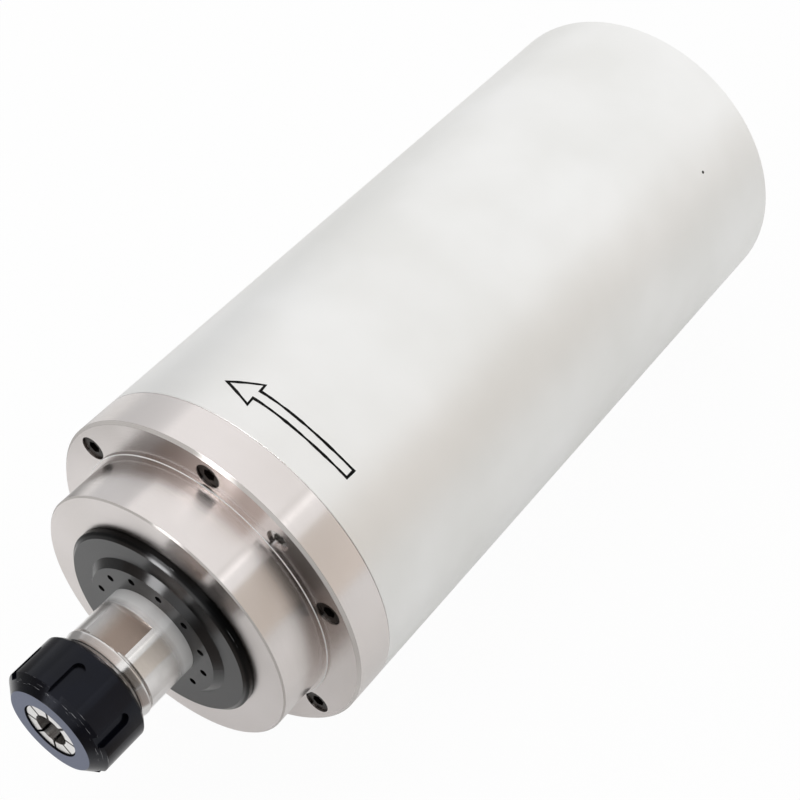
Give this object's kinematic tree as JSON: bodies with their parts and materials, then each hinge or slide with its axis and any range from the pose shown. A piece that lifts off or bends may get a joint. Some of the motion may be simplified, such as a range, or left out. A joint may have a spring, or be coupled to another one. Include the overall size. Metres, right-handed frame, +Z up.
{
  "type": "motor spindle",
  "caption": "Round water-cooled motor spindle: flanged cylindrical body, rotating shaft with dust cover, spring collet and clamping nut, hose fittings and power socket at the rear.",
  "frame": {"origin": "on the spindle axis at the seam between the front flange and the body tube, where a clamp on the tube can start", "axes": "+Y along the spindle axis from the nose towards the rear cover, +Z up with the spindle lying on its side, +X to the right seen from the nose looking along +Y"},
  "size_m": [0.125, 0.3674, 0.125],
  "materials": {
    "black_oxide": "glossy black oxide on steel",
    "black_cover": "semi-gloss black anodised aluminium",
    "ground_steel": "fine ground steel",
    "turned_steel": "finely turned and polished steel",
    "tube_steel": "bright satin stainless steel",
    "screw_black": "black oxide alloy steel",
    "screw_bright": "zinc-plated steel",
    "jacket_alloy": "machined aluminium alloy",
    "cover_alloy": "fine machined aluminium alloy",
    "lamination": "stacked electrical steel, matt",
    "copper": "varnished copper winding",
    "rotor_alloy": "cast aluminium",
    "bearing_steel": "ground and polished bearing steel",
    "cage_phenolic": "cloth-reinforced phenolic",
    "spring_steel": "blued spring steel",
    "seal_rubber": "nitrile rubber, matt",
    "fitting_nickel": "nickel-plated brass",
    "collar_plastic": "blue acetal",
    "shell_nickel": "satin nickel-plated zinc",
    "insert_plastic": "black thermoset insert",
    "pin_brass": "gold-flashed brass",
    "lead_silicone": "silicone-insulated wire"
  },
  "bodies": {
    "body": {"front_housing": "turned_steel", "flange_screws": "screw_black", "jack_screws": "screw_bright", "front_outer_rings": "bearing_steel", "front_spacer_outer": "ground_steel", "bearing_retainer": "ground_steel", "retainer_screws": "screw_black", "body_shell": "tube_steel", "water_jacket": "jacket_alloy", "jacket_seals": "seal_rubber", "spigot_seal": "seal_rubber", "stator_core": "lamination", "windings": "copper", "rear_housing": "jacket_alloy", "rear_housing_screws": "screw_black", "bearing_sleeve": "ground_steel", "sleeve_rings": "seal_rubber", "preload_spring": "spring_steel", "rear_outer_rings": "bearing_steel", "rear_spacer_outer": "ground_steel", "rear_cover": "cover_alloy", "rear_cover_screws": "screw_black", "earth_screw": "screw_bright", "water_fittings": "fitting_nickel", "fitting_seals": "seal_rubber", "receptacle_shell": "shell_nickel", "receptacle_insert": "insert_plastic", "receptacle_pins": "pin_brass", "receptacle_screws": "screw_bright", "power_leads": "lead_silicone"},
    "spindle": {"shaft": "ground_steel", "dust_cover": "black_cover", "balance_screws": "screw_black", "front_inner_rings": "bearing_steel", "front_spacer_inner": "ground_steel", "rear_inner_rings": "bearing_steel", "rear_spacer_inner": "ground_steel", "rear_locknut": "ground_steel", "rotor_core": "lamination", "rotor_cage": "rotor_alloy", "balance_rings": "pin_brass"},
    "front_rollers": {"front_balls": "bearing_steel", "front_cages": "cage_phenolic"},
    "rear_rollers": {"rear_balls": "bearing_steel", "rear_cages": "cage_phenolic"},
    "collet": {"collet": "ground_steel"},
    "nut": {"collet_nut": "black_oxide", "nut_ring": "spring_steel"},
    "collar_in": {"release_collar_in": "collar_plastic"},
    "collar_out": {"release_collar_out": "collar_plastic"}
  },
  "joints": [
    {"name": "spindle_spin", "type": "hinge", "parent": "body", "child": "spindle", "pos_m": [0, 0, 0], "axis": [0, -1, 0], "continuous": true},
    {"name": "front_rollers_spin", "type": "hinge", "parent": "body", "child": "front_rollers", "pos_m": [0, 0, 0], "axis": [0, -1, 0], "continuous": true},
    {"name": "rear_rollers_spin", "type": "hinge", "parent": "body", "child": "rear_rollers", "pos_m": [0, 0.2199, 0], "axis": [0, -1, 0], "continuous": true},
    {"name": "collet_slide", "type": "slide", "parent": "spindle", "child": "collet", "axis": [0, -1, 0], "range_m": [0, 0.009]},
    {"name": "nut_turn", "type": "hinge", "parent": "collet", "child": "nut", "pos_m": [0, -0.077, 0], "axis": [0, -1, 0], "range_deg": [0, 2160]},
    {"name": "collar_in_press", "type": "slide", "parent": "body", "child": "collar_in", "axis": [0, -1, 0], "range_m": [0, 0.0015], "stiffness_N_per_m": 1000},
    {"name": "collar_out_press", "type": "slide", "parent": "body", "child": "collar_out", "axis": [0, -1, 0], "range_m": [0, 0.0015], "stiffness_N_per_m": 1000}
  ],
  "couplings": [
    {"joint": "front_rollers_spin", "follows": "spindle_spin", "ratio": 0.4213},
    {"joint": "rear_rollers_spin", "follows": "spindle_spin", "ratio": 0.4148},
    {"joint": "collet_slide", "follows": "nut_turn", "m_per_rad": 0.0002387}
  ]
}
